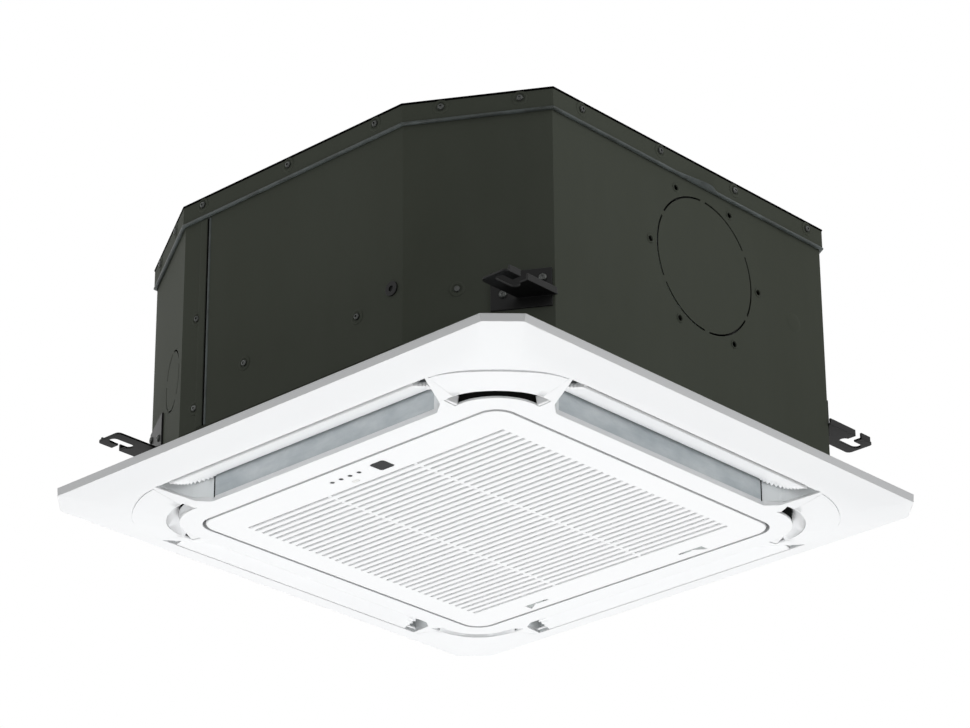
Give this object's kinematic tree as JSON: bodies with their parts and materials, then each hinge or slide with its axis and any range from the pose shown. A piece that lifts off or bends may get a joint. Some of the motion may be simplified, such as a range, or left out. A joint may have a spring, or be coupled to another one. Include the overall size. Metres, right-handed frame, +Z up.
{
  "type": "ceiling cassette air conditioner",
  "caption": "Compact four-way ceiling cassette indoor unit: square drop panel with swinging air flaps and hinged intake grille under a dark sheet-metal casing with hanging hooks.",
  "frame": {"origin": "centre of the square panel, in the plane of the finished ceiling", "axes": "+Z up into the ceiling void; +X towards the side plate with the fresh-air knock-out; -Y towards the panel side with the signal receiver; the pipes leave at the (-X, +Y) corner"},
  "size_m": [0.65, 0.65, 0.318],
  "materials": {
    "panel": "satin moulded, off-white",
    "casing": "dark charcoal satin paint on steel sheet",
    "bracket": "black satin paint",
    "steel": "zinc plated",
    "galvanised": "spangled galvanised sheet",
    "foam": "expanded polystyrene",
    "liner": "closed-cell foam sheet",
    "seal": "soft foam",
    "copper": "drawn copper tube",
    "nut_brass": "turned brass",
    "fins": "coated fin stock",
    "fan": "glass-filled moulding",
    "motor": "plain paint",
    "rubber": "moulded",
    "board": "laminate",
    "black_plastic": "moulded",
    "window": "smoked translucent",
    "lamp": "translucent lens",
    "white_plastic": "moulded",
    "mesh": "woven polymer net",
    "duct": "moulded, grey",
    "guide": "moulded",
    "pipe": "PVC"
  },
  "bodies": {
    "housing": {"panel_frame": "panel", "panel_seal": "seal", "corner_covers": "panel", "panel_screws": "steel", "outlet_ducts": "duct", "air_guides": "guide", "flap_motors": "black_plastic", "casing_front": "casing", "casing_rear": "casing", "top_cover": "casing", "casing_screws": "steel", "hole_plug": "rubber", "hanger_bracket_front_right": "bracket", "hanger_bracket_front_left": "bracket", "hanger_bracket_rear_right": "bracket", "hanger_bracket_rear_left": "bracket", "bracket_screws": "steel", "pipe_cover": "casing", "slot_strips": "seal", "panel_lugs": "galvanised", "wall_insulation": "liner", "top_insulation": "liner", "motor_mount": "galvanised", "motor_bushings": "rubber", "fan_motor": "motor", "coil_fins": "fins", "coil_end_plates": "galvanised", "coil_return_bends": "copper", "gas_line": "copper", "liquid_line": "copper", "gas_union": "nut_brass", "liquid_union": "nut_brass", "drain_pan": "foam", "drain_plug": "rubber", "bell_mouth": "fan", "drain_pump": "white_plastic", "drain_pipe": "pipe", "float_guide": "black_plastic", "control_box": "galvanised", "control_box_cover": "galvanised", "control_board": "board", "terminal_block": "black_plastic"},
    "rotor": {"motor_shaft": "steel", "turbo_fan": "fan", "fan_nut": "steel"},
    "air_flap_right": {"flap_right": "panel"},
    "air_flap_rear": {"flap_rear": "panel"},
    "air_flap_left": {"flap_left": "panel"},
    "air_flap_front": {"flap_front": "panel"},
    "grille": {"intake_grille": "panel", "filter_frame": "black_plastic", "filter_mesh": "mesh", "receiver_housing": "black_plastic", "receiver_window": "window", "indicator_lights": "lamp"},
    "left_latch": {"latch_left": "panel"},
    "right_latch": {"latch_right": "panel"},
    "button": {"manual_button": "white_plastic"},
    "impeller": {"pump_impeller": "white_plastic"},
    "float": {"drain_float": "white_plastic"}
  },
  "joints": [
    {"name": "fan_spin", "type": "hinge", "parent": "housing", "child": "rotor", "pos_m": [0, 0, 0.18], "axis": [0, 0, 1], "continuous": true},
    {"name": "flap_right_swing", "type": "hinge", "parent": "housing", "child": "air_flap_right", "pos_m": [0.2832, 0, -0.01489], "axis": [0, 1, 0], "range_deg": [-33, 33]},
    {"name": "flap_rear_swing", "type": "hinge", "parent": "housing", "child": "air_flap_rear", "pos_m": [0, 0.2832, -0.01489], "axis": [-1, 0, 0], "range_deg": [-33, 33]},
    {"name": "flap_left_swing", "type": "hinge", "parent": "housing", "child": "air_flap_left", "pos_m": [-0.2832, 0, -0.01489], "axis": [0, -1, 0], "range_deg": [-33, 33]},
    {"name": "flap_front_swing", "type": "hinge", "parent": "housing", "child": "air_flap_front", "pos_m": [0, -0.2832, -0.01489], "axis": [1, 0, 0], "range_deg": [-33, 33]},
    {"name": "grille_swing", "type": "hinge", "parent": "housing", "child": "grille", "pos_m": [0, -0.2035, -0.0249], "axis": [-1, 0, 0], "range_deg": [0, 58]},
    {"name": "left_latch_slide", "type": "slide", "parent": "grille", "child": "left_latch", "axis": [1, 0, 0], "range_m": [0, 0.006], "stiffness_N_per_m": 200},
    {"name": "right_latch_slide", "type": "slide", "parent": "grille", "child": "right_latch", "axis": [-1, 0, 0], "range_m": [0, 0.006], "stiffness_N_per_m": 200},
    {"name": "button_press", "type": "slide", "parent": "grille", "child": "button", "axis": [0, 0, 1], "range_m": [0, 0.001], "stiffness_N_per_m": 400},
    {"name": "impeller_spin", "type": "hinge", "parent": "housing", "child": "impeller", "pos_m": [-0.178, 0.205, 0.06], "axis": [0, 0, 1], "continuous": true},
    {"name": "float_rise", "type": "slide", "parent": "housing", "child": "float", "axis": [0, 0, 1], "range_m": [0, 0.012]}
  ]
}
